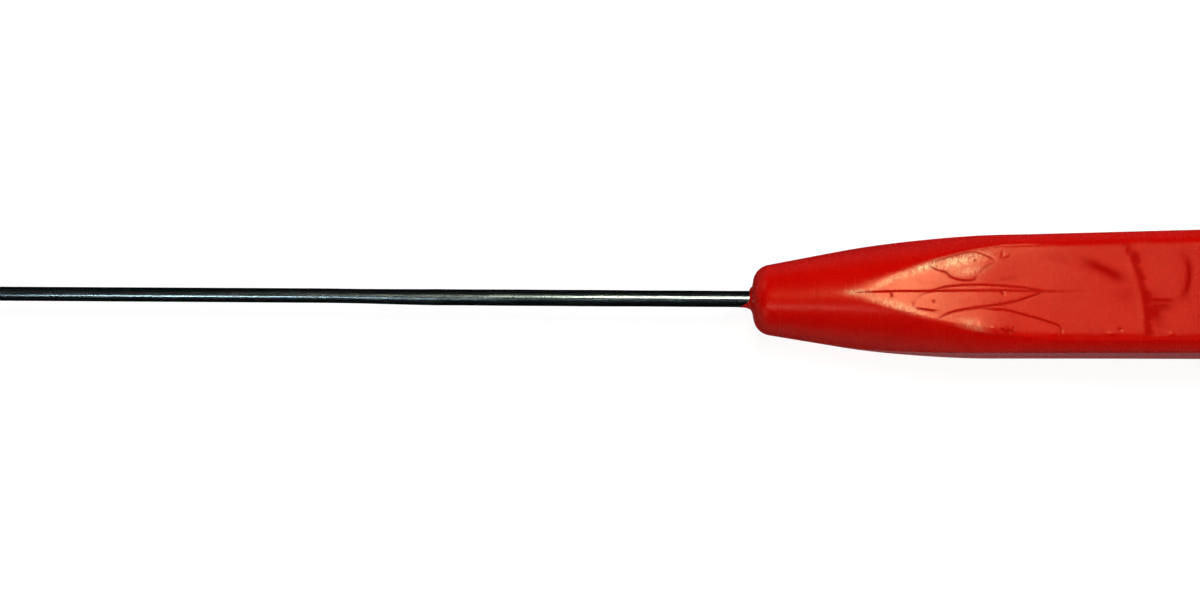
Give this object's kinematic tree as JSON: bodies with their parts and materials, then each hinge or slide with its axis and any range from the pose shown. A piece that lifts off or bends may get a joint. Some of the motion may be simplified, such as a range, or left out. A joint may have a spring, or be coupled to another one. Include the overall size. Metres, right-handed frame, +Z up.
{
  "type": "scratch awl",
  "caption": "Scratch awl: a long round steel blade ground to a needle point, its tang moulded into a square plastic handle with rounded corners and a conical nose.",
  "frame": {"origin": "on the surface that the handle's lower flat rests on, midway between the point and the butt, in the upright plane through the handle's axis", "axes": "+X from the point towards the butt, +Z up and square to the lower flat, so the handle's axis rises towards the butt by 0.75 degrees; the blade leans 1.04 degrees sideways, its point towards +Y"},
  "size_m": [0.254, 0.0228, 0.0228],
  "materials": {
    "steel": "bare drawn steel rod, dark, with fine lengthwise draw lines and light rubbing; brighter at the ground point",
    "red_plastic": "injection-moulded red plastic, satin to semi-gloss, with weld and flow lines on the flats"
  },
  "bodies": {
    "root": {"blade": "steel", "handle": "red_plastic"}
  },
  "joints": []
}
